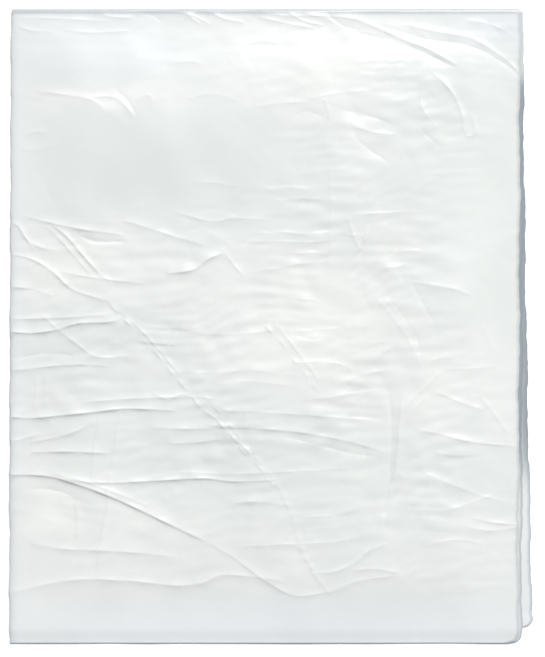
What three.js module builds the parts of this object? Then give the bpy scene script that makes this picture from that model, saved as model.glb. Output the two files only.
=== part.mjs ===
// A clear recycling bag as it comes out of the packet: one length of blown film tube, welded across
// one end, folded once across its width, folded again along its length and laid flat.
// Millimetres, +Z up. The first fold is on the left (-X), the second at the far end (+Y), and the
// open mouth is the near end (-Y) of the upper leaf. The welded end lies under it, a little short.
import * as THREE from "three";
import { mergeVertices } from "three/addons/utils/BufferGeometryUtils.js";

// The bag laid out flat, before it is folded.
const bagWidth = 766;
const bagLength = 940;

// The film, drawn thicker than it is so that each layer is a wall of its own.
const filmThickness = 0.4;
const layerGap = 0.4; // between two layers of one leaf
const leafGap = 0.6; // between the upper leaf and the lower one

// How far the folding is out of true.
const sideStep = 2.6; // the under half of each leaf reaches this far past its top half
const endStep = 12; // the welded end stops this far short of the mouth
const endDroop = 2.8; // the mouth hangs down this far where nothing lies under it
const upperLean = 0.18; // degrees by which the upper leaf leans to the left
const lowerSwing = 7.2; // how far the welded end swings out to the right
const swingCurve = 1.6; // above 1, the lower leaf keeps straight at first and then bends away

// The loose edges.
const cornerRadius = 7;
const edgeWave = 0.5; // how far an edge wanders to either side
const edgeWaveLength = 104;

// The weld across the closed end.
const weldInset = 9; // from the end of the film to the weld
const weldWidth = 3;

// The air left between the layers, which lifts the middle of the pack.
const crown = 2.4;
const crownMargin = 18; // the pack stays tight for this far in from its edges
const billow = 0.35; // how much the crown rises and falls, as a share of it
const billowsAcross = 1.5;
const billowsAlong = 2.5;

// How finely the shape is drawn.
const columns = 6; // across a leaf
const leafRows = 10; // along a leaf
const cornerSteps = 3;
const outerFoldSteps = 5;
const edgeFoldSteps = 4;
const spineSteps = 6;

const filmColour = 0xeef1ef;
const filmRoughness = 0.28;

// Heights of the four layers of a leaf above the plane between the leaves. The topmost is first.
const pitch = filmThickness + layerGap;
const innermost = (leafGap + filmThickness) / 2;
const layerHeights = [3, 2, 1, 0].map((n) => innermost + n * pitch);
const [topLayer, secondLayer, thirdLayer, lastLayer] = layerHeights;
const foldHeight = (topLayer + lastLayer) / 2;
const midPlane = topLayer + filmThickness / 2;
const lowestCentre = filmThickness / 2;
const highestCentre = 2 * midPlane - filmThickness / 2;

// Widths of the two halves of a leaf and lengths of the two leaves, less what the folds take up.
const halvesWidth = bagWidth - Math.PI * (topLayer - foldHeight + pitch / 2) / 2;
const topHalf = (halvesWidth - sideStep) / 2;
const underHalf = (halvesWidth + sideStep) / 2;
const leavesLength = bagLength - Math.PI * foldHeight;
const upperLength = (leavesLength + endStep) / 2;
const lowerLength = (leavesLength - endStep) / 2;

const radians = THREE.MathUtils.degToRad;
const smooth = THREE.MathUtils.smoothstep;

// How far the middle of the pack is lifted, from 0 at its edges to about 1. The fold on the left is
// at x = 0 and the fold at the far end is at y = 0.
function lift(x, y) {
  const rise = (t, size) => smooth(t, 0, crownMargin * 4) * smooth(size - t, 0, crownMargin * 4);
  const across = rise(x - crownMargin / 2, topHalf - crownMargin);
  const along = rise(-y - crownMargin / 2, lowerLength - crownMargin);
  const wave = Math.sin((2 * Math.PI * billowsAcross * x) / topHalf)
    * Math.sin((2 * Math.PI * billowsAlong * y) / upperLength);
  return across * along * (1 - billow / 2 + (billow / 2) * wave);
}

// A row is one section across the film: where it is along the bag, how far it is turned round the
// second fold, how far it leans and how far its loose edges draw in to round the corner.
function rowsOf(length, isUpper) {
  const plain = Math.max(cornerRadius, weldInset + weldWidth);
  const rows = [];
  for (let i = 0; i <= cornerSteps; i++) {
    const turn = (i / cornerSteps) * (Math.PI / 2);
    rows.push({
      fromEnd: cornerRadius * (1 - Math.cos(turn)),
      drawIn: cornerRadius * (1 - Math.sin(turn)),
    });
  }
  if (!isUpper) {
    rows.push({ fromEnd: weldInset, drawIn: 0, weld: "outer" });
    rows.push({ fromEnd: weldInset + weldWidth, drawIn: 0, weld: "inner" });
  }
  for (let i = isUpper ? 0 : 1; i <= leafRows; i++) {
    rows.push({ fromEnd: plain + ((length - plain) * i) / leafRows, drawIn: 0 });
  }
  return rows
    .sort((a, b) => a.fromEnd - b.fromEnd)
    .filter((row, i, all) => i === 0 || row.fromEnd - all[i - 1].fromEnd > 1e-3)
    .map((row) => ({
      ...row,
      y: row.fromEnd - length,
      angle: isUpper ? 0 : Math.PI,
      shift: isUpper
        ? (row.fromEnd - length) * Math.tan(radians(upperLean))
        : lowerSwing * (1 - row.fromEnd / length) ** swingCurve,
      alongFilm: isUpper
        ? row.fromEnd
        : upperLength + Math.PI * foldHeight + length - row.fromEnd,
    }));
}

function spineRows() {
  const rows = [];
  for (let i = 1; i < spineSteps; i++) {
    const angle = (Math.PI * i) / spineSteps;
    rows.push({ y: 0, angle, shift: 0, drawIn: 0, alongFilm: upperLength + angle * foldHeight });
  }
  return rows;
}

const rows = [
  ...rowsOf(upperLength, true),
  ...spineRows(),
  ...rowsOf(lowerLength, false).reverse(),
];

// The film's section in a row, as a closed line round the folded tube: where it is, and which way
// the outside of the bag is from there.
function sectionOf(row) {
  const wave = (phase) =>
    edgeWave * Math.sin((2 * Math.PI * row.alongFilm) / edgeWaveLength + phase);
  const topEdge = topHalf - row.drawIn + wave(0);
  const underEdge = underHalf - row.drawIn + wave(Math.PI / 3);
  const line = [];
  const straight = (edge, h, outward, leftwards) => {
    for (let i = 0; i <= columns; i++) {
      const share = leftwards ? 1 - i / columns : i / columns;
      line.push({ x: edge * share, h, nx: 0, nh: outward });
    }
  };
  const turn = (x, h, radius, from, to, steps, outward) => {
    for (let i = 1; i < steps; i++) {
      const a = from + ((to - from) * i) / steps;
      const [c, s] = [Math.cos(a), Math.sin(a)];
      line.push({ x: x + radius * c, h: h + radius * s, nx: outward * c, nh: outward * s });
    }
  };
  const quarter = Math.PI / 2;
  const edgeFold = (x, h) => turn(x, h, pitch / 2, -quarter, quarter, edgeFoldSteps, 1);
  straight(topEdge, topLayer, 1, true);
  turn(0, foldHeight, topLayer - foldHeight, quarter, 3 * quarter, outerFoldSteps, 1);
  straight(underEdge, lastLayer, -1, false);
  edgeFold(underEdge, (thirdLayer + lastLayer) / 2);
  straight(underEdge, thirdLayer, 1, true);
  turn(0, foldHeight, pitch / 2, 3 * quarter, quarter, outerFoldSteps, -1);
  straight(topEdge, secondLayer, -1, false);
  edgeFold(topEdge, (topLayer + secondLayer) / 2);
  return line.map((point) => ({ ...point, x: point.x + row.shift }));
}

// One face of the film in a row: side 1 is the outside of the bag and -1 the inside.
function ringOf(row, side) {
  const [c, s] = [Math.cos(row.angle), Math.sin(row.angle)];
  return sectionOf(row).map(({ x, h, nx, nh }) => {
    const [y, z] = [row.y + h * s, midPlane + h * c];
    const share = (z - lowestCentre) / (highestCentre - lowestCentre);
    const offset = (side * filmThickness) / 2;
    const droop = c === 1 ? endDroop * smooth(-y, lowerLength, upperLength) : 0;
    return new THREE.Vector3(
      x + nx * offset,
      y + nh * s * offset,
      z - droop + crown * lift(x, y) * share + nh * c * offset,
    );
  });
}

const triangles = [];
const quad = (a, b, c, d) => triangles.push(a, b, c, a, c, d);

function strip(ring, nextRing, outwards) {
  ring.forEach((point, i) => {
    const j = (i + 1) % ring.length;
    if (outwards) quad(point, nextRing[i], nextRing[j], ring[j]);
    else quad(point, ring[j], nextRing[j], nextRing[i]);
  });
}

// A wall across the inside of the bag, where the weld closes it.
function wall(row, ring, facing) {
  const line = sectionOf(row).map(
    ({ x, h, nx, nh }) =>
      new THREE.Vector2(x - (nx * filmThickness) / 2, h - (nh * filmThickness) / 2),
  );
  for (const face of THREE.ShapeUtils.triangulateShape(line, [])) {
    const [a, b, c] = face.map((i) => ring[i]);
    const normal = b.clone().sub(a).cross(c.clone().sub(a));
    if (normal.y * facing > 0) triangles.push(a, b, c);
    else triangles.push(a, c, b);
  }
}

const outside = rows.map((row) => ringOf(row, 1));
const inside = rows.map((row) => ringOf(row, -1));
rows.slice(1).forEach((row, i) => {
  strip(outside[i], outside[i + 1], true);
  if (rows[i].weld !== "inner") strip(inside[i], inside[i + 1], false);
});
rows.forEach((row, i) => {
  if (row.weld) wall(row, inside[i], row.weld === "inner" ? 1 : -1);
});
strip(outside[0], inside[0], false);
strip(outside.at(-1), inside.at(-1), true);

const shell = new THREE.BufferGeometry().setFromPoints(triangles);
const filmGeometry = mergeVertices(shell, 1e-3);
filmGeometry.computeBoundingBox();
const { min, max } = filmGeometry.boundingBox;
filmGeometry.translate(-(min.x + max.x) / 2, -(min.y + max.y) / 2, -min.z);
filmGeometry.computeVertexNormals();

const foldedBag = new THREE.Mesh(
  filmGeometry,
  new THREE.MeshStandardMaterial({
    color: filmColour,
    roughness: filmRoughness,
    metalness: 0,
  }),
);
foldedBag.name = "folded_bag";

const bag = new THREE.Group();
bag.add(foldedBag);

export default bag;
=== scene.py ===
"""A clear recycling bag, folded in quarters and lying on a pale floor, seen from straight above.

The film is one thin surface. It runs round the folded tube and over the second fold as the bag's
own film does, and its creases are bent into it.
"""

import math

import bpy
import numpy as np
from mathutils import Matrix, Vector
from mathutils.geometry import delaunay_2d_cdt


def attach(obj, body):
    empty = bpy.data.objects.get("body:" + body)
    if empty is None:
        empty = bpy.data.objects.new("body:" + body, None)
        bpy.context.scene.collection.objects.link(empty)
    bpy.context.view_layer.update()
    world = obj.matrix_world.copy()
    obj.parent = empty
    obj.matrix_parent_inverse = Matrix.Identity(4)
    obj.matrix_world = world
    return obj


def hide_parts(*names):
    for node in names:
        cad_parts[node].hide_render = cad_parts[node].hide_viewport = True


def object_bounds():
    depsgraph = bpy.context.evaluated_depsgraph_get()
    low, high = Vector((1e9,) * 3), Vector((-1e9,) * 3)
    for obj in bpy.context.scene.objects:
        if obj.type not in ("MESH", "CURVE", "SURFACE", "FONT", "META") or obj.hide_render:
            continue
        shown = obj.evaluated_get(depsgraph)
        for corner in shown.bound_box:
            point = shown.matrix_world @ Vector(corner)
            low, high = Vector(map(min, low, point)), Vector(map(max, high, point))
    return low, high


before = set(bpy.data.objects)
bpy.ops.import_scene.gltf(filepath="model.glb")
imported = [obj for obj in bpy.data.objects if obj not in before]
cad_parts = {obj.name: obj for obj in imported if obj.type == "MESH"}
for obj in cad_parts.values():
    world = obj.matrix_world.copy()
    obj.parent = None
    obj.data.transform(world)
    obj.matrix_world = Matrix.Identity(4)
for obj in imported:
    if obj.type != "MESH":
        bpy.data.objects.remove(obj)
cad_box = [list(corner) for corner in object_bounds()]
rng = np.random.default_rng(41)

# Sizes of the bag in millimetres, as in the part.
BAG_WIDTH = 766.0
BAG_LENGTH = 940.0
LAYER_STEP = 0.8  # from one layer of a leaf to the next
LEAF_GAP = 0.6
FILM_WALL = 0.4
SIDE_STEP = 2.6
END_STEP = 12.0
UPPER_LEAN = math.radians(0.18)
LOWER_SWING = 7.2
SWING_CURVE = 1.6
CORNER = 7.0
EDGE_WAVE = 0.5
EDGE_WAVE_LENGTH = 104.0
WELD_FROM = 9.0
WELD_TO = 12.0
CROWN = 2.4
CROWN_MARGIN = 18.0

# Sizes that are this script's own, in millimetres.
DROOP = 2.1  # the mouth hangs down this far past the end of the lower leaf
WELD_PINCH = 0.42  # each layer moves this share of a step towards its neighbour at the weld
CROWN_SHARE = 0.85  # of the part's crown
TIGHT_MARGIN = 55.0  # the pack is flatter within this distance of its edges
TIGHT_FAR_MARGIN = 45.0  # and of the second fold
TIGHT_SHARE = 0.42  # how much flatter it is there
CREASED_FROM = 0.87  # creases bend only what lies above this share of the height
CALM_MOUTH = 8.0  # creases fade out over this distance before the mouth
DEEPEST = -0.6  # a crease dips no further than this, to stay clear of the next layer
FLOOR_GAP = 0.15

# Further waves of the loose edges and of the first fold: (height, length, start).
EDGE_RIPPLES = ((0.25, 41, 1.0), (0.2, 23, 4.0), (0.16, 13, 2.5), (0.12, 7.7, 0.3))
FOLD_RIPPLES = ((0.26, 67, 0.5), (0.2, 29, 2.0), (0.14, 13, 5.0))
UNDER_PHASE = math.pi / 3  # the under half's edge waves a little after the top half's

INNERMOST = (LEAF_GAP + FILM_WALL) / 2
LAYERS = [INNERMOST + n * LAYER_STEP for n in (3, 2, 1, 0)]
FOLD_HEIGHT = (LAYERS[0] + LAYERS[3]) / 2
MID_PLANE = LAYERS[0] + FILM_WALL / 2
LOWEST = FILM_WALL / 2
HIGHEST = 2 * MID_PLANE - FILM_WALL / 2
HALVES = BAG_WIDTH - math.pi * (LAYERS[0] - FOLD_HEIGHT + LAYER_STEP / 2) / 2
TOP_HALF = (HALVES - SIDE_STEP) / 2
UNDER_HALF = (HALVES + SIDE_STEP) / 2
LEAVES = BAG_LENGTH - math.pi * FOLD_HEIGHT
UPPER_LENGTH = (LEAVES + END_STEP) / 2
LOWER_LENGTH = (LEAVES - END_STEP) / 2

# The film's colours: grey with painted shade, milky with painted sheen, painted shade and dark
# reflection at the edges, and bluish with painted reflection.
FILM_GREY_TONE_AND_SHADE = (0.576, 0.609, 0.594, 1)
FILM_MILKY_TONE_AND_SHEEN = (0.746, 0.753, 0.734, 1)
FILM_PAINTED_EDGE_SHADE = (0.17, 0.205, 0.235, 1)
FILM_BLUISH_TONE_AND_REFLECTION = (0.68, 0.703, 0.754, 1)
PAINTED_EDGE_SHADE_SHARE = 0.85
BLUISH_TONE_AND_REFLECTION_SHARE = 0.55
CLEAR_SHARE = 0.2

# The photograph's scale and height, where the two folds meet in it, and where its middle is.
MM_PER_PX = 0.75
PHOTO_HEIGHT_PX = 657
FOLD_PX = (9.6, 12.6)
CAMERA_SHIFT_PX = (1.3, -2.65)
CAMERA_FIT = 0.997

# How finely the film is drawn: millimetres between points, and steps round a bend.
ROW_STEP = 3.3
TOP_COLUMN = 5.0
HIDDEN_COLUMN = 20.0
EDGE_COLUMNS = (9.0, 2.8)  # further columns of the hidden layers, this far from their right edge
OPEN_STEP = 2.0
OPEN_JITTER = 0.5
CREASE_STEP = 1.8
FINE_STEP = 5.0
CREASE_OFFSETS = (-1.5, -0.6, 0.0, 0.6, 1.5)
CREASE_CELL = 1.6  # no open points within a cell of this size that a crease passes
EDGE_CLEAR = 0.8  # points along creases stay this far inside the edges
CREASE_END_CLEAR = 1.6  # and this far from the mouth
OPEN_END_CLEAR = 1.2  # and open points this far from it
CORNER_STEPS = 6
SPINE_STEPS = 10
OUTER_FOLD_STEPS = 7
INNER_FOLD_STEPS = 5

# The shape of a crease and the numbers of fine ones.
CREASE_GAIN = 1.25
CREASE_WIDTH = 0.8
CREASE_ROUNDING = 0.2
CREASE_REACH = 6  # a crease ends within this many of its widths
CREASE_TAPER = 0.45
CREASE_UNEVEN = 0.2
UNEVEN_RATE = 0.45
PIECE_OFFSET = 0.5
SCATTERED_CREASES = 170
FINE_BEND = 0.08
# Two kinds of fine crease: (shortest, longest), how far they turn from level, (lowest, highest)
# and (narrowest, widest).
RIPPLE = ((22, 60), 0.13, (0.1, 0.24), (1.4, 2.4))
SCATTERED = ((14, 70), 0.7, (0.04, 0.15), (1.2, 2.6))

# Painted dark lines along the edges, where many layers are seen edge on: shade and dark
# reflection, each as (how dark, how wide).
LEFT_LINE = (0.1, 1.0)
LEFT_BAND = (0.14, 3.4)
FAR_LINE = (0.55, 1.3)
MOUTH_LINE = (0.05, 0.8)
TOPMOST_LINE = (0.45, 1.3)
# The under edges on the right are a broad strip of painted shadow, where the upper leaf shades
# the lower one. It begins over the first of these distances from the second fold, and gets
# narrower and lighter over the second.
STRIP_BEGINS = (42, 58)
STRIP_NARROWS = (310, 370)
STRIP_WIDTH = 6.5
STRIP_NARROWING = 5.2
STRIP_LIGHTENING = 0.35
STRIP_BEFORE = 0.4  # how dark it is before it begins


def on_bag(px, py):
    """A place on the upper leaf, in millimetres from where the folds meet."""
    return ((px - FOLD_PX[0]) * MM_PER_PX, (FOLD_PX[1] - py) * MM_PER_PX)


# Creases of the upper leaf, each as (height, width of its far side, width of its near side, line).
# Heights and widths are in millimetres, and a line is in the photograph's pixels.
CREASES = [
    # The long crease from the first fold down to the lower middle.
    (1.35, 5.0, 1.0, [(-7, 475.5), (7, 475.5), (40, 476), (65, 481.5), (100, 493.5), (131, 507),
                      (165, 523.5), (202, 541)]),
    (0.5, 2.6, 1.6, [(202, 541), (230, 557), (261, 580), (291, 595.5), (320, 593), (347, 587)]),
    (0.47, 2.0, 1.6, [(48, 473), (80, 481), (111, 492), (145, 506)]),
    # The level crease that leaves it at the first fold.
    (1.01, 3.4, 1.0, [(56, 478.5), (100, 483), (150, 481), (200, 478.5), (231, 481.5), (274, 480)]),
    (0.35, 2.0, 1.6, [(150, 477.5), (180, 472.5), (220, 474), (270, 472.5), (320, 470), (347, 468.5)]),
    # The wavy ridge near the mouth.
    (0.8, 2.8, 3.4, [(0, 591.5), (14, 591.5), (50, 583), (85, 579), (130, 581), (175, 585.5),
                     (201, 582.5), (220, 575), (260, 578), (283, 582)]),
    # The curve under the bright patch, and the patch's edges.
    (0.7, 3.0, 3.0, [(28, 544), (60, 549), (90, 550), (120, 551.5), (150, 554), (173, 556.5)]),
    (-0.54, 2.4, 2.4, [(20, 490.5), (40, 489.5), (61, 493), (73, 501)]),
    (0.41, 2.0, 1.6, [(73, 501), (75, 520), (74, 539)]),
    # Level creases from the first fold.
    (1.22, 3.2, 1.0, [(-7, 417.5), (7, 417.5), (30, 418.5), (56, 416), (90, 412.5), (125, 409),
                      (172, 411)]),
    (0.54, 2.0, 1.3, [(75, 403), (130, 399), (190, 397.5), (216, 400)]),
    (0.35, 2.0, 1.8, [(215, 411), (260, 412.5), (300, 415), (350, 419), (382, 420)]),
    (0.27, 2.0, 1.8, [(300, 400.5), (330, 397.5), (360, 392.5), (382, 389.5)]),
    (1.22, 2.8, 1.0, [(-7, 332.5), (7, 332.5), (30, 333.5), (55, 330), (75, 324), (107.5, 322.5),
                      (120, 317)]),
    (0.61, 2.0, 1.3, [(-5, 319.5), (9, 319.5), (55, 318.5), (111, 314.5)]),
    (0.61, 2.2, 1.3, [(1, 370.5), (15, 370.5), (50, 366.5), (85, 365), (107, 367.5)]),
    (0.47, 1.8, 1.4, [(36, 312.5), (55, 330), (75, 345), (95, 357.5), (131, 356)]),
    (0.68, 3.0, 1.3, [(25, 443.5), (55, 437.5), (75, 430.5), (92, 422.5)]),
    (0.81, 2.6, 1.0, [(28, 453), (65, 452), (106, 453.5)]),
    (0.54, 1.8, 1.4, [(-2, 441), (12, 441), (24, 438), (38, 433)]),
    (-0.47, 2.2, 1.4, [(1, 358), (15, 358), (45, 354), (70, 356)]),
    (0.47, 2.2, 1.3, [(165, 443.5), (190, 443), (216, 440)]),
    # The dark wedge in the middle.
    (0.76, 7.0, 1.6, [(205, 426), (235, 428), (260, 429), (300, 433), (340, 440.5), (382, 452)]),
    (-0.4, 2.4, 3.0, [(280, 436), (320, 446.5), (350, 454), (376, 457)]),
    (0.54, 2.2, 1.3, [(148, 428), (180, 429), (212, 428.5)]),
    # Bright streaks at the upper left.
    (0.68, 2.4, 1.4, [(22, 217), (55, 225), (85, 231), (123, 235.5)]),
    (-0.61, 2.0, 1.9, [(73, 235), (95, 242.5), (123, 242)]),
    (0.47, 2.4, 1.9, [(120, 220.5), (165, 235), (202, 246)]),
    (0.74, 1.6, 1.3, [(49, 225), (65, 238), (80, 255.5), (98, 275.5), (107, 281)]),
    (0.41, 1.4, 1.1, [(42, 226), (57, 240), (73, 258), (90, 278)]),
    (0.68, 1.8, 1.3, [(-7, 254.5), (7, 254.5), (30, 260), (50, 272.5), (70, 290), (100, 300),
                      (109, 303.5)]),
    (0.54, 1.6, 1.3, [(-1, 225), (13, 225), (22, 237), (31, 251)]),
    (0.47, 1.8, 1.3, [(58, 272.5), (90, 278), (142, 284.5)]),
    (0.41, 2.0, 1.3, [(-7, 287.5), (7, 287.5), (28, 289.5), (50, 295.5)]),
    (0.41, 1.8, 1.4, [(17, 235), (35, 247), (55, 251)]),
    # Short creases round the broken one.
    (0.34, 1.4, 1.1, [(116, 311), (133, 326), (149, 342), (165, 361), (178, 376)]),
    (0.3, 1.6, 1.6, [(309, 571), (318, 583), (327, 594)]),
    (0.59, 1.6, 1.8, [(231, 440), (241, 447), (248, 457)]),
    (0.4, 1.6, 1.3, [(150, 393), (165, 400), (176, 395), (188, 396)]),
    (0.27, 1.4, 1.4, [(270, 323), (286, 341), (298, 357), (309, 371), (317, 384)]),
    (0.4, 2.2, 1.5, [(289, 363.5), (320, 362), (345, 367), (349, 378)]),
    (-0.27, 1.8, 1.8, [(294, 336), (310, 340), (323, 335)]),
    (0.23, 1.8, 1.8, [(292, 332), (320, 330), (346, 327.5)]),
    (0.23, 2.0, 1.6, [(150, 328), (180, 330.5), (215, 335), (260, 332), (278, 328)]),
    (0.4, 2.0, 1.3, [(135, 342), (165, 345), (175, 345)]),
    (0.23, 2.0, 1.6, [(170, 371), (210, 373), (250, 371), (295, 376)]),
    (0.2, 2.0, 1.6, [(210, 384), (250, 382), (300, 388)]),
    # The dent in the middle, and the level ripples over it.
    (1.01, 3.6, 1.3, [(163, 274.5), (190, 270.5), (205, 260), (221, 253.5)]),
    (0.39, 1.6, 1.8, [(218, 249), (226, 259), (233, 268), (240, 276)]),
    (0.27, 2.0, 1.6, [(248, 273), (280, 268), (300, 264), (327, 262)]),
    (0.35, 1.8, 1.6, [(293, 254.5), (310, 253), (327, 255.5)]),
    (0.27, 1.8, 1.8, [(250, 234), (280, 233), (305, 235), (342, 229.5)]),
    (0.31, 1.8, 1.8, [(240, 243.5), (280, 242), (310, 243), (352, 237.5)]),
    (0.23, 1.8, 1.8, [(212, 221), (240, 219), (270, 220.5)]),
    (0.18, 2.1, 2.1, [(265, 190), (285, 188.5), (305, 189.5)]),
    (0.21, 2.0, 1.8, [(188, 183), (210, 183.5), (235, 187)]),
    (0.32, 2.0, 1.4, [(170, 212.5), (210, 222), (235, 216)]),
    (0.2, 2.0, 1.8, [(270, 202), (300, 199), (320, 201)]),
    (0.23, 1.8, 1.8, [(280, 301), (300, 300), (320, 303)]),
    # The marks right of the middle.
    (0.39, 1.6, 1.6, [(344, 219), (351, 238), (357, 251)]),
    (0.39, 1.6, 1.6, [(364, 225), (361, 240), (357, 251)]),
    (-0.47, 2.6, 2.6, [(362, 238), (358, 257), (349, 276)]),
    (0.16, 1.6, 1.6, [(350, 216), (390, 212.5), (417, 212.5)]),
    (0.19, 1.8, 1.6, [(375, 271), (388, 268), (403, 264)]),
    (0.16, 1.8, 1.6, [(388, 256), (402, 252), (417, 251)]),
    (0.3, 1.6, 1.6, [(394, 280), (425, 285), (450, 289.5), (472, 297.5)]),
    (-0.23, 1.8, 2.0, [(409, 284), (419, 304), (431, 323)]),
    (0.2, 2.4, 1.5, [(374, 300), (395, 325), (410, 350), (418.5, 369)]),
    (-0.13, 1.8, 1.8, [(385, 298), (402, 320), (415, 345), (420, 368)]),
    (0.27, 1.8, 1.8, [(419, 371), (431, 360), (446, 357)]),
    (0.24, 1.8, 1.8, [(438, 370), (465, 369), (492, 367.5)]),
    (0.39, 1.8, 1.8, [(396, 423), (401, 407.5), (416, 392.5), (437, 372)]),
    (0.35, 1.6, 1.6, [(403, 425), (411, 409), (425, 395)]),
    (0.16, 1.6, 1.6, [(350, 350), (370, 345), (385, 341)]),
    (0.21, 1.6, 1.6, [(370, 362), (378, 353), (388, 348)]),
    (0.27, 1.6, 1.6, [(345, 380), (365, 374), (381, 371)]),
    # The upright crease right of the middle, which the curl runs into.
    (-0.7, 2.0, 3.2, [(384, 388), (388, 420), (387.5, 450), (385, 487.5), (378, 517)]),
    (0.5, 1.6, 1.8, [(398, 393), (396, 430), (393, 465), (385, 497), (378, 517)]),
    (0.6, 1.8, 2.2, [(308, 573), (330, 571.5), (350, 563), (367, 548), (375, 531), (381, 513)]),
    (0.35, 1.8, 1.8, [(400, 475), (390, 500), (384, 525)]),
    (0.3, 1.8, 1.6, [(218, 548), (270, 545), (320, 542.5), (361, 537)]),
    (0.35, 1.8, 1.6, [(298, 518), (330, 515.5), (352, 510)]),
    (0.3, 1.8, 1.8, [(230, 503), (255, 502), (281, 505.5)]),
    (0.4, 1.8, 1.6, [(348, 571), (370, 569), (398, 573)]),
    (0.35, 1.6, 1.6, [(360, 555), (374, 547), (386, 543)]),
    (0.35, 1.8, 1.6, [(330, 589), (360, 580), (400, 575)]),
    # The lower right.
    (0.5, 2.0, 1.5, [(413, 430), (440, 435), (470, 442.5), (512, 446.5), (524, 447.6)]),
    (0.35, 1.8, 1.8, [(433, 392.5), (465, 405.5), (482, 410)]),
    (0.3, 1.8, 1.8, [(475, 395), (490, 413), (505, 433)]),
    (0.5, 2.0, 1.5, [(468, 518), (490, 523), (515, 525), (527, 526.0)]),
    (0.35, 1.8, 1.8, [(463, 526), (485, 531), (513, 528), (525, 526.7)]),
    (0.3, 2.2, 2.2, [(408, 506), (440, 510), (470, 502), (502, 491)]),
    (0.3, 2.0, 2.0, [(415, 470), (440, 481), (475, 495), (506, 503)]),
    (0.3, 1.8, 1.8, [(425, 450), (450, 456), (480, 454)]),
    (0.3, 1.8, 1.8, [(420, 546), (450, 540), (480, 543)]),
    # The folds gathered at the top right.
    (0.45, 2.8, 1.6, [(250, 12), (280, 16), (312, 16), (350, 19), (381, 31), (401, 40.5)]),
    (0.6, 3.9, 1.7, [(381, 31), (401, 40.5), (421, 48), (436, 56), (454, 66)]),
    (0.42, 2.5, 1.6, [(254, 17), (280, 23), (313, 29)]),
    (0.3, 2.1, 1.6, [(300, 13), (325, 20), (350, 30), (372, 35)]),
    (-0.3, 2.1, 2.5, [(330, 22), (360, 33), (380, 40)]),
    (-0.4, 3.2, 1.5, [(363, 22), (395, 32), (425, 40), (458, 44.5), (480, 52), (498, 62), (513, 73),
                      (520, 81), (532, 94.7)]),
    (0.4, 1.8, 3.4, [(395, 23), (425, 30), (447, 34), (470, 39), (492, 52), (508, 64), (519, 78),
                     (531, 93.3)]),
    (-0.48, 2.3, 3.9, [(403, 46), (425, 55), (440, 63), (455, 69)]),
    (0.45, 1.8, 1.8, [(428, 72), (441, 84), (451, 97), (458, 113), (461, 130), (464, 137)]),
    (0.45, 1.4, 1.4, [(463, 137), (469, 136), (472, 130), (470, 118)]),
    (0.21, 2.3, 2.3, [(416, 98), (421, 113), (433, 128)]),
    (0.21, 2.5, 2.1, [(460, 20), (485, 24), (510, 35)]),
    # The dents under them.
    (0.2, 2.3, 1.8, [(238, 110.5), (270, 105), (300, 102.5), (330, 95), (378, 90)]),
    (-0.28, 2.5, 2.5, [(291, 118), (303, 112), (320, 118)]),
    (0.25, 2.1, 2.1, [(320, 99), (324, 108), (326, 119)]),
    (0.23, 2.1, 2.1, [(330, 103), (327, 112), (325, 120)]),
    (-0.4, 3.9, 3.0, [(342, 112), (365, 117), (390, 125)]),
    (0.4, 2.8, 2.3, [(349, 127), (370, 133), (393, 136)]),
    (-0.25, 1.8, 2.8, [(350, 135), (365, 150), (387, 164)]),
    (-0.23, 2.1, 2.8, [(416, 129), (425, 138), (438, 148)]),
    (0.17, 2.8, 2.8, [(399, 201), (420, 185.5), (442, 174.5)]),
    (0.15, 2.8, 2.8, [(350, 64), (380, 60), (400, 56)]),
    (0.15, 2.8, 2.8, [(354, 80), (385, 65), (406, 61)]),
    # The bright fold at the upper left, with its beak.
    (0.56, 3.4, 2.4, [(33, 92), (60, 95), (85, 99.5), (102, 108)]),
    (0.49, 3.4, 1.6, [(88, 98), (110, 98), (122, 106), (132, 119)]),
    (-0.32, 2.0, 2.0, [(111, 89), (124, 101), (135, 118)]),
    (0.24, 1.8, 1.8, [(134, 103), (143, 96), (150, 101), (149, 111)]),
    (0.24, 1.8, 1.8, [(22, 137), (32, 132), (45, 133)]),
    (0.21, 2.2, 1.8, [(18, 150), (35, 150), (52, 145)]),
    # Level ripples near the second fold.
    (0.35, 2.0, 1.8, [(17, 18), (55, 19), (105, 21.5)]),
    (-0.35, 1.6, 1.6, [(135, 12), (148, 15), (159, 22)]),
    (0.35, 1.6, 1.6, [(173, 13), (190, 16), (208, 25)]),
    (0.28, 1.6, 1.6, [(181, 12), (192, 21), (198, 24)]),
    (0.17, 2.2, 1.8, [(165, 65), (185, 62), (202, 65)]),
    (0.17, 2.2, 1.8, [(180, 100), (210, 95), (235, 102)]),
    (0.15, 2.3, 2.1, [(235, 47), (260, 42), (280, 46)]),
    (0.4, 1.6, 1.4, [(206, 12), (222, 19), (242, 23)]),
    (0.4, 1.6, 1.4, [(284, 12), (300, 21), (322, 26)]),
    (-0.35, 1.6, 1.4, [(322, 12), (336, 24), (352, 31)]),
    (0.35, 1.6, 1.4, [(92, 12), (108, 17), (130, 18)]),
    (0.3, 1.6, 1.4, [(14, 26), (30, 31), (52, 32)]),
    (0.3, 1.8, 1.4, [(60, 30), (90, 33), (128, 31)]),
    # Faint creases along the bag.
    (0.41, 1.6, 1.3, [(108, 468), (105, 505), (98, 545), (94, 572)]),
    (0.34, 1.6, 1.3, [(118, 412), (112, 450), (108, 468)]),
    (0.34, 1.6, 1.3, [(98, 415), (92, 450), (89, 480)]),
    (0.3, 1.6, 1.3, [(33, 375), (33, 395), (30, 408)]),
    (0.3, 1.6, 1.3, [(44, 375), (42, 395), (40, 408)]),
    (0.17, 2.0, 2.0, [(327, 165), (328, 220), (325, 280)]),
]

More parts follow.
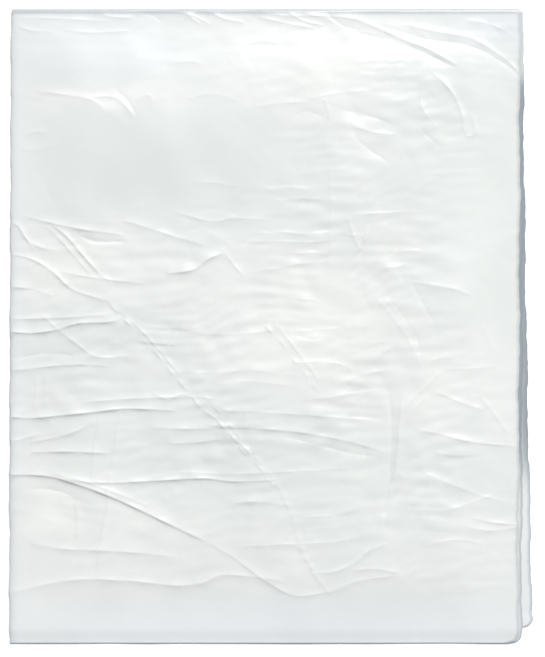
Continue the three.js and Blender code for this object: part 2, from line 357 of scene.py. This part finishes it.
# Creases that come and go, drawn as short pieces with gaps between them.
BROKEN = [
    (0.57, 1.6, 1.4, [(107, 304), (117.5, 316), (135, 332.5), (150, 350), (165, 367.5), (176, 381),
                      (188, 395.5), (200, 410)]),
    (0.51, 1.5, 1.6, [(200, 410), (215, 421), (230, 437.5), (245, 455), (260, 472.5), (275, 490),
                      (285.5, 506), (293, 530), (300, 552.5), (309, 571)]),
    (0.38, 1.4, 1.4, [(210, 406), (225, 421), (238, 440), (252, 457), (267, 474), (280, 492)]),
    (0.47, 1.5, 1.6, [(262, 326), (278, 343), (290, 360), (301, 373), (311, 388), (321, 398.5)]),
]

# Areas of fine level ripples: (left, top, right, bottom) in the photograph's pixels, and how many.
RIPPLES = [
    (236, 186, 344, 216, 9),
    (166, 228, 334, 262, 14),
    (326, 196, 410, 242, 9),
    (14, 214, 110, 306, 12),
    (60, 300, 240, 400, 12),
    (330, 288, 500, 360, 10),
    (180, 440, 300, 520, 8),
    (420, 540, 512, 600, 8),
    (300, 50, 420, 110, 7),
]


def smoothstep(t, low, high):
    t = np.clip((t - low) / (high - low), 0, 1)
    return t * t * (3 - 2 * t)


def curve(points, step):
    """The line through points as a smooth curve, with a point at about each step."""
    p = np.array(points, float)
    p = np.vstack([2 * p[0] - p[1], p, 2 * p[-1] - p[-2]])
    out = []
    for a, b, c, d in zip(p, p[1:], p[2:], p[3:]):
        n = max(1, int(round(np.linalg.norm(c - b) / step)))
        t = (np.arange(n) / n)[:, None]
        first = 2 * b + (c - a) * t
        second = (2 * a - 5 * b + 4 * c - d) * t**2
        third = (3 * b - a - 3 * c + d) * t**3
        out.append(0.5 * (first + second + third))
    out.append(p[-2:-1])
    return np.vstack(out)


def fine_crease(x, y, kind):
    """A slightly bent crease about a place on the bag: height, two widths and line."""
    lengths, turns, heights, widths = kind
    long = rng.uniform(*lengths)
    turn = rng.normal(0, turns)
    high = rng.uniform(*heights) * rng.choice([-1, 1])
    wide = rng.uniform(*widths)
    dx = math.cos(turn) * long / 2
    dy = math.sin(turn) * long / 2
    bend = rng.uniform(-FINE_BEND, FINE_BEND) * long
    middle = (x - dy / long * bend * 2, y + dx / long * bend * 2)
    near_wide = wide * rng.uniform(0.6, 1.4)
    return (high, wide, near_wide, [(x - dx, y - dy), middle, (x + dx, y + dy)])


def fine_creases():
    """Short shallow creases, mostly level, in the ripple areas and thinly all over."""
    made = []
    for left, top, right, bottom, count in RIPPLES:
        for i in range(count):
            px = rng.uniform(left, right)
            py = top + (bottom - top) * (i + rng.uniform(0.2, 0.8)) / count
            made.append(fine_crease(*on_bag(px, py), RIPPLE))
    for _ in range(SCATTERED_CREASES):
        x = rng.uniform(0, TOP_HALF)
        y = -rng.uniform(0, UPPER_LENGTH - 30)
        made.append(fine_crease(x, y, SCATTERED))
    return made


def pieces(line):
    """A line cut into short pieces that lie a little off it and apart."""
    i = 0
    made = []
    while i < len(line) - 3:
        many = int(rng.integers(4, 9))
        part = line[i : i + many]
        if len(part) > 2:
            made.append(part + rng.normal(0, PIECE_OFFSET, 2))
        i += many + int(rng.integers(0, 4))
    return made


def placed(line):
    return curve([on_bag(*p) for p in line], CREASE_STEP)


MAIN_CREASES = [(high, far, near, placed(line)) for high, far, near, line in CREASES]
MAIN_CREASES += [
    (high * rng.uniform(0.45, 1.25), far, near, part)
    for high, far, near, line in BROKEN
    for part in pieces(placed(line))
]
FINE_CREASES = [(high, far, near, curve(line, FINE_STEP)) for high, far, near, line in fine_creases()]
ALL_CREASES = MAIN_CREASES + FINE_CREASES

# Slack film, as slow waves of (direction, rate, start, height).
SWELL_HEIGHT = 0.0022
SWELLS = [
    (rng.uniform(0, 2 * math.pi), 2 * math.pi / long, rng.uniform(0, 2 * math.pi), SWELL_HEIGHT * long)
    for long in (150, 118, 92, 74, 60, 47, 39)
]


def softly(x, y, waves):
    """Smooth noise from -1 to 1, out of a few waves."""
    total = 0
    for turn, long, start in waves:
        across = math.cos(turn) * x + math.sin(turn) * y
        total = total + np.sin(2 * np.pi * across / long + start)
    return total / len(waves)


def some_waves(shortest, longest, count):
    return [
        (rng.uniform(0, math.pi), rng.uniform(shortest, longest), rng.uniform(0, 2 * math.pi))
        for _ in range(count)
    ]


# Crumple: sets of sharp parallel folds, bent by smooth noise and kept to patches.
CRUMPLE_BEND = 9
CRUMPLE_PATCH = (-0.1, 0.45)  # from smooth to crumpled, as the noise goes up
CRUMPLE = [
    (turn, period, high, some_waves(55, 130, 3), some_waves(45, 110, 3), rng.uniform(0, 1))
    for turn, period, high in (
        (0.05, 14, 0.36),
        (-0.12, 19, 0.45),
        (0.18, 11, 0.28),
        (-0.3, 24, 0.42),
        (0.0, 8, 0.26),
        (0.5, 9, 0.2),
        (0.9, 28, 0.36),
        (-0.95, 21, 0.32),
        (1.45, 32, 0.25),
    )
]
# Where the film is crumpled, and where it is smooth: (middle, half width and half height in the
# photograph's pixels, how much).
CRUMPLED_ALL_OVER = 0.12
CRUMPLED = [
    (200, 400, 210, 150, 0.9),
    (90, 280, 90, 70, 0.5),
    (350, 300, 120, 130, 0.75),
    (430, 500, 90, 90, 0.7),
    (390, 110, 110, 70, 0.55),
    (270, 30, 240, 22, 0.35),
    (150, 170, 110, 50, -0.6),
    (500, 280, 34, 100, -0.6),
    (270, 625, 270, 26, -0.9),
]


def spread(x, y, areas):
    """The sum of some soft areas, each given in the photograph's pixels."""
    total = np.zeros_like(x)
    for px, py, wide, tall, much in areas:
        mx, my = on_bag(px, py)
        across = ((x - mx) / (wide * MM_PER_PX)) ** 2
        along = ((y - my) / (tall * MM_PER_PX)) ** 2
        total += much * np.exp(-across - along)
    return total


def crumple(x, y):
    z = np.zeros_like(x)
    much = np.clip(CRUMPLED_ALL_OVER + spread(x, y, CRUMPLED), 0, 1.2)
    for turn, period, high, bends, patches, start in CRUMPLE:
        across = -math.sin(turn) * x + math.cos(turn) * y + CRUMPLE_BEND * softly(x, y, bends)
        t = (across / period + start) % 1
        sharp = 1 - np.abs(2 * t - 1)
        z += high * (sharp - 0.5) * smoothstep(softly(x, y, patches), *CRUMPLE_PATCH)
    return z * much


def slack(x, y):
    total = 0
    for turn, rate, start, high in SWELLS:
        across = math.cos(turn) * x + math.sin(turn) * y
        total = total + high * np.sin(rate * across + start)
    return total


def nearest(line, px, py):
    """How far points are from a line, which side of it they are on and how far along it."""
    best = np.full(len(px), 1e9)
    side = np.zeros(len(px))
    along = np.zeros(len(px))
    steps = len(line) - 1
    for i, (a, b) in enumerate(zip(line, line[1:])):
        d = b - a
        t = np.clip(((px - a[0]) * d[0] + (py - a[1]) * d[1]) / max(d @ d, 1e-9), 0, 1)
        ex = px - a[0] - t * d[0]
        ey = py - a[1] - t * d[1]
        r = np.hypot(ex, ey)
        nearer = r < best
        best[nearer] = r[nearer]
        side[nearer] = (d[0] * ey - d[1] * ex)[nearer]
        along[nearer] = ((i + t) / steps)[nearer]
    return best, side, along


def relief(x, y):
    """Height of the creases in the topmost layer, in millimetres."""
    z = crumple(x, y)
    for high, far, near, line in ALL_CREASES:
        reach = CREASE_REACH * max(far, near)
        low = line.min(0) - reach
        top = line.max(0) + reach
        held = np.nonzero((x > low[0]) & (x < top[0]) & (y > low[1]) & (y < top[1]))[0]
        if not len(held):
            continue
        best, side, along = nearest(line, x[held], y[held])
        rightwards = 1 if line[-1][0] >= line[0][0] else -1
        wide = np.where(side * rightwards > 0, far, near)
        soft = np.sqrt(best**2 + CREASE_ROUNDING**2) - CREASE_ROUNDING
        # A crease fades at its ends and is a little uneven along its way.
        much = np.sin(np.pi * np.clip(along, 0.0, 1.0)) ** CREASE_TAPER
        way = along * (len(line) - 1) * UNEVEN_RATE
        much *= 1 - CREASE_UNEVEN + CREASE_UNEVEN * np.sin(way + 9 * high + line[0][0])
        z[held] += CREASE_GAIN * high * np.exp(-soft / (CREASE_WIDTH * wide)) * np.clip(much, 0, 1)
    return np.maximum(z, DEEPEST)


def lift(x, y):
    """How far the air lifts the pack, from 0 at its edges to 1 in its middle."""
    edge = CROWN_MARGIN * 4

    def rise(t, size):
        return smoothstep(t, 0, edge) * smoothstep(size - t, 0, edge)

    across = rise(x - CROWN_MARGIN / 2, TOP_HALF - CROWN_MARGIN)
    return across * rise(-y - CROWN_MARGIN / 2, LOWER_LENGTH - CROWN_MARGIN)


def tightness(x, y):
    """How much of its height the pack keeps: less near its edges, where the film lies tight."""
    middle = smoothstep(x, 0, TIGHT_MARGIN) * smoothstep(TOP_HALF - x, 0, TIGHT_MARGIN)
    middle = middle * smoothstep(-y, 0, TIGHT_FAR_MARGIN)
    middle = middle * smoothstep(y + UPPER_LENGTH, 0, TIGHT_MARGIN)
    return 1 - TIGHT_SHARE * (1 - middle)


def raised(x, y, z):
    """A flat layer's height z, raised by the air in the pack and by the creases above it."""
    share = (z - LOWEST) / (HIGHEST - LOWEST)
    past = smoothstep(-y, LOWER_LENGTH + 1, UPPER_LENGTH + 1)
    droop = DROOP * past * smoothstep(z, MID_PLANE - 0.2, MID_PLANE + 0.2)
    swell = (CROWN * CROWN_SHARE * lift(x, y) + slack(x, y)) * np.clip(share, 0, 1)
    tight = tightness(x, y)
    detail = smoothstep(y + UPPER_LENGTH, 0, CALM_MOUTH) * relief(x, y)
    detail = detail * smoothstep(share, CREASED_FROM, 1)
    return tight * (z - droop + swell) + np.where(detail < 0, tight * detail, detail)


# Painted sheen and shade on the top layer: soft patches that lift its colour towards milky or
# lower it towards grey, in place of the broad reflections and shade of a softly lit, gently wavy film.
PAINTED_SHEEN_AND_SHADE = [
    (150, 170, 120, 56, -0.55),
    (290, 66, 90, 46, 0.4),
    (452, 260, 60, 100, -0.05),
    (450, 450, 50, 40, -0.2),
    (45, 521, 27, 25, 0.8),
    (70, 262, 64, 46, 0.45),
    (440, 96, 60, 40, -0.4),
    (490, 28, 40, 18, -0.5),
    (255, 450, 130, 60, -0.35),
    (270, 628, 300, 24, 0.05),
    (95, 625, 80, 24, 0.3),
    (100, 330, 70, 30, -0.4),
    (270, 200, 60, 40, -0.15),
    (80, 600, 90, 50, 0.2),
    (295, 330, 90, 60, 0.4),
    (450, 570, 60, 40, 0.1),
    (96, 98, 44, 11, 1.3),
    (450, 400, 70, 40, 0.3),
    (200, 540, 90, 40, 0.1),
]
PAINTED_PATCH_BEND = 15
PAINTED_PATCH_BENDS = some_waves(26, 70, 5), some_waves(26, 70, 5)
# Where the film is bluish: the smooth band at the mouth, the edges and the corner at the top
# right. At the edges and the corner the blue is a painted reflection of the bluish sky.
BLUISH_TONE_AND_REFLECTION = [
    (270, 634, 360, 34, 1.0),
    (495, 28, 60, 24, 0.8),
    (10, 330, 9, 420, 0.6),
    (80, 50, 150, 44, 0.5),
    (130, 170, 130, 60, 0.2),
    (270, 8, 360, 9, 0.5),
    (524, 350, 9, 340, 0.5),
]


# Painted sheen and shade: from 0, shaded grey, to 1, lit milky.
def cling(x, y):
    bent_x = x + PAINTED_PATCH_BEND * softly(x, y, PAINTED_PATCH_BENDS[0])
    bent_y = y + PAINTED_PATCH_BEND * softly(x, y, PAINTED_PATCH_BENDS[1])
    return np.clip(0.5 + 0.5 * spread(bent_x, bent_y, PAINTED_SHEEN_AND_SHADE), 0, 1)


def drawn_in(from_end):
    """How far the loose edge draws in to round a corner, at a distance from the end."""
    return CORNER - np.sqrt(CORNER**2 - np.clip(CORNER - from_end, 0, CORNER) ** 2)


def shift_of(y, upper):
    """How far a leaf has moved across at a distance -y from the second fold."""
    swing = LOWER_SWING * np.clip(-y / LOWER_LENGTH, 0, 1.1) ** SWING_CURVE
    return np.where(upper, y * math.tan(UPPER_LEAN), swing)


def edge_wave(along, phase):
    wave = EDGE_WAVE * np.sin(2 * np.pi * along / EDGE_WAVE_LENGTH + phase)
    for high, long, start in EDGE_RIPPLES:
        wave = wave + high * np.sin(2 * np.pi * along / long + start + 5 * phase)
    return wave


def fold_wave(along):
    wave = 0
    for high, long, start in FOLD_RIPPLES:
        wave = wave + high * np.sin(2 * np.pi * along / long + start)
    return wave


def painted_edge_shade(x, y, z):
    """1 on a fold or a cut edge and 0 away from it: painted shade and dark reflection where many
    layers are seen edge on, and a strip of painted shadow on the right.
    """
    upper = z > MID_PLANE
    top_half = np.abs(z - MID_PLANE) > FOLD_HEIGHT
    topmost = upper & top_half
    end = y + np.where(upper, UPPER_LENGTH, LOWER_LENGTH)
    shift = shift_of(y, upper)
    along = np.where(upper, end, UPPER_LENGTH + math.pi * FOLD_HEIGHT - y)
    top_edge = TOP_HALF + edge_wave(along, 0)
    under_edge = UNDER_HALF + edge_wave(along, UNDER_PHASE)
    right = np.where(top_half, top_edge, under_edge) - drawn_in(end) + shift

    def shade(d, dark, wide):
        return dark * np.exp(-((np.maximum(d, 0) / wide) ** 2))

    low_down = smoothstep(-y, *STRIP_NARROWS)
    begun = STRIP_BEFORE + (1 - STRIP_BEFORE) * smoothstep(-y, *STRIP_BEGINS)
    strip = (1 - STRIP_LIGHTENING * low_down) * begun
    dark, wide = TOPMOST_LINE
    right_dark = np.where(topmost, dark, strip)
    right_wide = np.where(topmost, wide, STRIP_WIDTH - STRIP_NARROWING * low_down)
    shades = [
        shade(x - shift, *LEFT_LINE) + shade(x - shift, *LEFT_BAND),
        shade(-y, *FAR_LINE),
        shade(end, *MOUTH_LINE),
        shade(right - x, right_dark, right_wide),
    ]
    return np.max(shades, axis=0)


def rows_of(length, upper):
    """Sections along one leaf, from its end to the second fold."""
    ends = [CORNER * (1 - math.cos(a)) for a in np.linspace(0, math.pi / 2, CORNER_STEPS + 1)]
    if not upper:
        ends += [WELD_FROM, (WELD_FROM + WELD_TO) / 2, WELD_TO]
    start = max(ends)
    ends += list(np.linspace(start, length, int((length - start) / ROW_STEP))[1:])
    return [
        {
            "y": d - length,
            "angle": 0.0 if upper else math.pi,
            "shift": float(shift_of(d - length, upper)),
            "draw_in": float(drawn_in(d)),
            "along": d if upper else UPPER_LENGTH + math.pi * FOLD_HEIGHT + length - d,
            "weld": not upper and WELD_FROM - 1e-6 <= d <= WELD_TO + 1e-6,
        }
        for d in ends
    ]


def spine_rows():
    """Sections round the second fold."""
    return [
        {
            "y": 0.0,
            "angle": a,
            "shift": 0.0,
            "draw_in": 0.0,
            "along": UPPER_LENGTH + a * FOLD_HEIGHT,
            "weld": False,
        }
        for a in np.linspace(0, math.pi, SPINE_STEPS + 1)[1:-1]
    ]


def turned(h, radius, start, end, steps, x=0.0):
    """Points of an arc about (x, h), without its two ends."""
    angles = np.linspace(start, end, steps + 1)[1:-1]
    return [(x + radius * math.cos(a), h + radius * math.sin(a)) for a in angles]


def section(row):
    """The closed line round the folded tube in a row, as x and the height from the plane between
    the leaves, and how many of its points are the top layer's."""
    top = TOP_HALF - row["draw_in"] + edge_wave(row["along"], 0)
    under = UNDER_HALF - row["draw_in"] + edge_wave(row["along"], UNDER_PHASE)
    top_shares = np.linspace(0, 1, int(TOP_HALF / TOP_COLUMN) + 1)
    shares = np.linspace(0, 1, int(TOP_HALF / HIDDEN_COLUMN) + 1)
    shares = np.sort(np.append(shares, 1 - np.array(EDGE_COLUMNS) / TOP_HALF))
    pinch = WELD_PINCH * LAYER_STEP if row["weld"] else 0.0
    hs = [LAYERS[0] - pinch, LAYERS[1] + pinch, LAYERS[2] - pinch, LAYERS[3] + pinch]
    quarter = math.pi / 2

    def edge_fold(upper_h, lower_h, x):
        middle = (upper_h + lower_h) / 2
        return turned(middle, (upper_h - lower_h) / 2, -quarter, quarter, INNER_FOLD_STEPS, x)

    line = [(top * s, hs[0]) for s in top_shares[::-1]]
    line += turned(FOLD_HEIGHT, (hs[0] - hs[3]) / 2, quarter, 3 * quarter, OUTER_FOLD_STEPS)
    line += [(under * s, hs[3]) for s in shares]
    line += edge_fold(hs[2], hs[3], under)
    line += [(under * s, hs[2]) for s in shares[::-1]]
    line += turned(FOLD_HEIGHT, (hs[1] - hs[2]) / 2, 3 * quarter, quarter, INNER_FOLD_STEPS)
    line += [(top * s, hs[1]) for s in shares]
    line += edge_fold(hs[0], hs[1], top)
    wave = fold_wave(row["along"])
    moved = [(x + wave * (1 - x / top) + row["shift"], h) for x, h in line]
    return np.array(moved), len(top_shares)


def distances_round(line):
    """How far each point of a closed line is from its first, and at last the whole way round."""
    closed = np.vstack([line, line[:1]])
    return np.concatenate([[0], np.cumsum(np.linalg.norm(np.diff(closed, axis=0), axis=1))])


def film_grid():
    """The whole film as rows of points, each row round the folded tube."""
    upper = rows_of(UPPER_LENGTH, True)
    rows = upper + spine_rows() + rows_of(LOWER_LENGTH, False)[::-1]
    points = []
    around = None
    for row in rows:
        line, columns = section(row)
        c = math.cos(row["angle"])
        s = math.sin(row["angle"])
        points.append(np.stack([line[:, 0], row["y"] + line[:, 1] * s, MID_PLANE + line[:, 1] * c], 1))
        if around is None and row["draw_in"] == 0:
            around = distances_round(line)
    return np.array(points), around, columns, len(upper), rows


def grid_faces(grid, along, around, columns, upper_rows):
    """Faces between the rows, with their places on the flat film. The top layer is left out."""
    many_rows, loop = grid.shape[:2]
    numbers = np.arange(many_rows * loop).reshape(many_rows, loop)
    faces = []
    places = []
    for i in range(many_rows - 1):
        for j in range(loop):
            if i < upper_rows - 1 and j < columns - 1:
                continue
            k = (j + 1) % loop
            faces.append((numbers[i, j], numbers[i + 1, j], numbers[i + 1, k], numbers[i, k]))
            u0, u1 = around[j], around[j + 1]
            v0, v1 = along[i], along[i + 1]
            places += [(u0, v0), (u0, v1), (u1, v1), (u1, v0)]
    return numbers, faces, places


def top_layer(boundary):
    """The upper leaf's top layer as triangles, close together along the creases. boundary holds
    its edge points as (across, along) on the flat film."""
    xs = np.arange(OPEN_STEP, TOP_HALF - 1, OPEN_STEP)
    ys = np.arange(OPEN_STEP, UPPER_LENGTH - 1, OPEN_STEP)
    gx, gy = np.meshgrid(xs, -ys)
    jitter = rng.uniform(-OPEN_JITTER, OPEN_JITTER, (gx.size, 2))
    open_points = np.stack([gx.ravel(), gy.ravel()], 1) + jitter
    along_creases = []
    for _, _, _, line in MAIN_CREASES:
        d = np.gradient(line, axis=0)
        long = np.maximum(np.linalg.norm(d, axis=1), 1e-9)
        normal = np.stack([-d[:, 1], d[:, 0]], 1) / long[:, None]
        along_creases += [line + normal * offset for offset in CREASE_OFFSETS]
    creases = np.vstack(along_creases)
    x, y = creases.T
    inside = (x > EDGE_CLEAR) & (x < TOP_HALF - EDGE_CLEAR)
    inside &= (y < -EDGE_CLEAR) & (y > CREASE_END_CLEAR - UPPER_LENGTH)
    creases = creases[inside]
    cells = {tuple(c) for c in np.round(creases / CREASE_CELL).astype(int)}
    open_cells = np.round(open_points / CREASE_CELL).astype(int)
    free = np.array([tuple(c) not in cells for c in open_cells])
    free &= open_points[:, 1] > OPEN_END_CLEAR - UPPER_LENGTH
    points = np.vstack([boundary, creases, open_points[free]])
    made = delaunay_2d_cdt([Vector(p) for p in points], [], [], 0, 1e-4)
    return np.array([tuple(v) for v in made[0]]), np.array(made[2], int)


def top_points(across, y):
    """Places on the flat film as points of the top layer."""
    from_end = y + UPPER_LENGTH
    reach = TOP_HALF - drawn_in(from_end) + edge_wave(from_end, 0)
    share = across / TOP_HALF
    x = share * reach + fold_wave(from_end) * (1 - share) + shift_of(y, True)
    return np.stack([x, y, np.full_like(x, MID_PLANE + LAYERS[0])], 1)


def new_mesh(points, faces, places, shades):
    """A mesh in metres, moved to lie in the part's box, with its places on the flat film."""
    used, corners = np.unique(np.concatenate([np.array(f) for f in faces]), return_inverse=True)
    points = points[used]
    sizes = [len(f) for f in faces]
    mesh = bpy.data.meshes.new("folded_film")
    mesh.vertices.add(len(points))
    mesh.loops.add(len(corners))
    mesh.polygons.add(len(sizes))
    starts = np.concatenate([[0], np.cumsum(sizes)[:-1]])
    low = points.min(0)
    high = points.max(0)
    shift = np.array([cad_box[0][0] * 1000 - low[0], cad_box[1][1] * 1000 - high[1], FLOOR_GAP - low[2]])
    mesh.vertices.foreach_set("co", ((points + shift) / 1000).astype(np.float32).ravel())
    mesh.loops.foreach_set("vertex_index", corners.astype(np.int32))
    mesh.polygons.foreach_set("loop_start", starts.astype(np.int32))
    mesh.uv_layers.new(name="OFBake")
    mesh.update(calc_edges=True)
    mesh.validate()
    for name, values in shades.items():
        attribute = mesh.attributes.new(name, "FLOAT", "POINT")
        attribute.data.foreach_set("value", values[used].astype(np.float32))
    size = max(BAG_WIDTH * 2, BAG_LENGTH) * 1.01
    uvs = np.array(places, np.float32) / size
    mesh.uv_layers["OFBake"].data.foreach_set("uv", uvs.ravel())
    mesh.polygons.foreach_set("use_smooth", np.ones(len(sizes), bool))
    return mesh


def film_mesh():
    grid, around, columns, upper_rows, rows = film_grid()
    along = [row["along"] for row in rows]
    numbers, faces, places = grid_faces(grid, along, around, columns, upper_rows)

    # The edge points of the top layer, from the grid, as they are on the flat film.
    shares = np.linspace(1, 0, columns)
    ys = np.array([row["y"] for row in rows[:upper_rows]])
    edge = [(s * TOP_HALF, ys[0]) for s in shares] + [(s * TOP_HALF, 0.0) for s in shares]
    edge += [(0.0, y) for y in ys[1:-1]] + [(TOP_HALF, y) for y in ys[1:-1]]
    edge_numbers = list(numbers[0, :columns]) + list(numbers[upper_rows - 1, :columns])
    edge_numbers += list(numbers[1 : upper_rows - 1, columns - 1])
    edge_numbers += list(numbers[1 : upper_rows - 1, 0])
    known = {(round(x, 3), round(y, 3)): n for (x, y), n in zip(edge, edge_numbers)}

    flat, triangles = top_layer(np.array(edge))
    across, y = flat.T
    number = np.arange(len(flat)) + numbers.size
    for i, (fx, fy) in enumerate(flat):
        number[i] = known.get((round(fx, 3), round(fy, 3)), number[i])
    for t in triangles:
        faces.append(tuple(number[t]))
        places += [(TOP_HALF - across[n], y[n] + UPPER_LENGTH) for n in t]

    points = np.vstack([grid.reshape(-1, 3), top_points(across, y)])
    shades = {
        # painted shade and dark reflection along the edges
        "edge": painted_edge_shade(*points.T),
        # painted sheen and shade
        "cling": cling(points[:, 0], points[:, 1]),
        # bluish tone, and painted bluish reflection at the edges
        "cool": np.clip(spread(points[:, 0], points[:, 1], BLUISH_TONE_AND_REFLECTION), 0, 1),
    }
    points[:, 2] = raised(points[:, 0], points[:, 1], points[:, 2])
    return new_mesh(points, faces, places, shades)


def node(tree, kind, **inputs):
    """A new node with some of its inputs set. An underline in a name stands for a space."""
    made = tree.nodes.new(kind)
    for name, value in inputs.items():
        made.inputs[name.replace("_", " ")].default_value = value
    return made


def shade_of(tree, name):
    """The value of one of the film's point attributes."""
    made = tree.nodes.new("ShaderNodeAttribute")
    made.attribute_name = name
    return made.outputs["Fac"]


def scaled(tree, value, share):
    made = tree.nodes.new("ShaderNodeMath")
    made.operation = "MULTIPLY"
    tree.links.new(value, made.inputs[0])
    made.inputs[1].default_value = share
    return made.outputs[0]


def mixed(tree, share, first, colour):
    """The first colour, with a share of the second."""
    made = tree.nodes.new("ShaderNodeMix")
    made.data_type = "RGBA"
    tree.links.new(share, made.inputs["Factor"])
    tree.links.new(first, made.inputs["A"])
    made.inputs["B"].default_value = colour
    return made.outputs["Result"]


def film_material():
    """Milky polythene: mostly scattering, partly clear, with painted sheen and shade, a painted
    bluish reflection, and painted shade and dark reflection where many layers are seen edge on.
    """
    m = bpy.data.materials.new("film")
    m.use_nodes = True
    t = m.node_tree
    t.nodes.clear()
    out = t.nodes.new("ShaderNodeOutputMaterial")
    place = t.nodes.new("ShaderNodeTexCoord")

    haze = node(t, "ShaderNodeTexNoise", Scale=22.0, Detail=4.0, Roughness=0.55)
    t.links.new(place.outputs["Object"], haze.inputs["Vector"])
    crinkle = node(t, "ShaderNodeTexNoise", Scale=130.0, Detail=3.0, Roughness=0.5)
    t.links.new(place.outputs["Object"], crinkle.inputs["Vector"])

    # How milky the film is: the painted sheen and shade, with a little haze of random tone.
    tone_and_sheen = t.nodes.new("ShaderNodeMath")
    tone_and_sheen.operation = "MULTIPLY_ADD"
    t.links.new(haze.outputs["Fac"], tone_and_sheen.inputs[0])
    tone_and_sheen.inputs[1].default_value = 0.3
    t.links.new(shade_of(t, "cling"), tone_and_sheen.inputs[2])
    # Its grey end carries the painted shade and its milky end the painted sheen.
    tint = t.nodes.new("ShaderNodeValToRGB")
    grey_end, milky_end = tint.color_ramp.elements
    grey_end.position = 0.2
    grey_end.color = FILM_GREY_TONE_AND_SHADE
    milky_end.position = 1.1
    milky_end.color = FILM_MILKY_TONE_AND_SHEEN
    t.links.new(tone_and_sheen.outputs[0], tint.inputs["Fac"])
    # Bluish tone, with a painted reflection of the bluish sky at the edges.
    colour = mixed(t, scaled(t, shade_of(t, "cool"), BLUISH_TONE_AND_REFLECTION_SHARE), tint.outputs["Color"], FILM_BLUISH_TONE_AND_REFLECTION)
    # Painted shade and dark reflection along the edges.
    colour = mixed(t, scaled(t, shade_of(t, "edge"), PAINTED_EDGE_SHADE_SHARE), colour, FILM_PAINTED_EDGE_SHADE)

    rough = node(t, "ShaderNodeMapRange", From_Min=0.3, From_Max=0.7, To_Min=0.28, To_Max=0.33)
    t.links.new(haze.outputs["Fac"], rough.inputs["Value"])
    bump = node(t, "ShaderNodeBump", Strength=0.35, Distance=0.00025)
    t.links.new(crinkle.outputs["Fac"], bump.inputs["Height"])

    body = node(t, "ShaderNodeBsdfPrincipled", IOR=1.51, Specular_IOR_Level=0.4)
    t.links.new(colour, body.inputs["Base Color"])
    t.links.new(rough.outputs["Result"], body.inputs["Roughness"])
    t.links.new(bump.outputs["Normal"], body.inputs["Normal"])
    clear = t.nodes.new("ShaderNodeBsdfTransparent")
    mix = node(t, "ShaderNodeMixShader", Fac=CLEAR_SHARE)
    t.links.new(body.outputs[0], mix.inputs[1])
    t.links.new(clear.outputs[0], mix.inputs[2])
    t.links.new(mix.outputs[0], out.inputs["Surface"])
    return m


def floor_material():
    m = bpy.data.materials.new("floor")
    m.use_nodes = True
    shader = m.node_tree.nodes["Principled BSDF"]
    shader.inputs["Base Color"].default_value = (0.93, 0.93, 0.93, 1)
    shader.inputs["Roughness"].default_value = 0.9
    shader.inputs["Specular IOR Level"].default_value = 0.1
    return m


def studio_world():
    """A soft sky: bluish near the horizon and white above."""
    world = bpy.data.worlds.new("studio")
    world.use_nodes = True
    sky = world.node_tree
    aim = sky.nodes.new("ShaderNodeTexCoord")
    split = sky.nodes.new("ShaderNodeSeparateXYZ")
    sky.links.new(aim.outputs["Generated"], split.inputs[0])
    fade = sky.nodes.new("ShaderNodeValToRGB")
    horizon, above = fade.color_ramp.elements
    horizon.position = 0.05
    horizon.color = (0.55, 0.62, 0.74, 1)
    above.position = 0.85
    above.color = (1.0, 1.0, 0.985, 1)
    sky.links.new(split.outputs["Z"], fade.inputs["Fac"])
    background = sky.nodes["Background"]
    sky.links.new(fade.outputs["Color"], background.inputs["Color"])
    background.inputs["Strength"].default_value = 0.36
    return world


def softbox(name, place, size, power):
    """A large soft light that faces the bag."""
    data = bpy.data.lights.new(name, "AREA")
    data.shape = "RECTANGLE"
    data.size, data.size_y = size
    data.energy = power
    lamp = bpy.data.objects.new(name, data)
    lamp.location = place
    lamp.rotation_euler = (-Vector(place)).to_track_quat("-Z", "Y").to_euler()
    bpy.context.collection.objects.link(lamp)


# Camera: straight above, with the bag a little left of and above the middle, as in the photograph.
view_height_m = PHOTO_HEIGHT_PX * MM_PER_PX / 1000
camera_data = bpy.data.cameras.new("camera")
camera_data.lens = 100
camera_data.sensor_width = 36
camera = bpy.data.objects.new("camera", camera_data)
centre = [(a + b) / 2 for a, b in zip(*cad_box)]
camera.location = (
    centre[0] + CAMERA_SHIFT_PX[0] * MM_PER_PX / 1000,
    centre[1] + CAMERA_SHIFT_PX[1] * MM_PER_PX / 1000,
    cad_box[1][2] + CAMERA_FIT * view_height_m * camera_data.lens / camera_data.sensor_width,
)
bpy.context.collection.objects.link(camera)
bpy.context.scene.camera = camera

# Floor and light.
bpy.ops.mesh.primitive_plane_add(size=8, location=(0, 0, 0))
floor = bpy.context.object
floor.name = "floor"
floor.data.materials.append(floor_material())
bpy.context.scene.world = studio_world()
softbox("far_softbox", (3.7, 8.8, 11.8), (8.0, 5.4), 3600)
bpy.context.scene.view_settings.view_transform = "Standard"

# The bag.
film = bpy.data.objects.new("film_bag", film_mesh())
bpy.context.collection.objects.link(film)
film.data.materials.append(film_material())
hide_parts("folded_bag")
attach(film, "root")
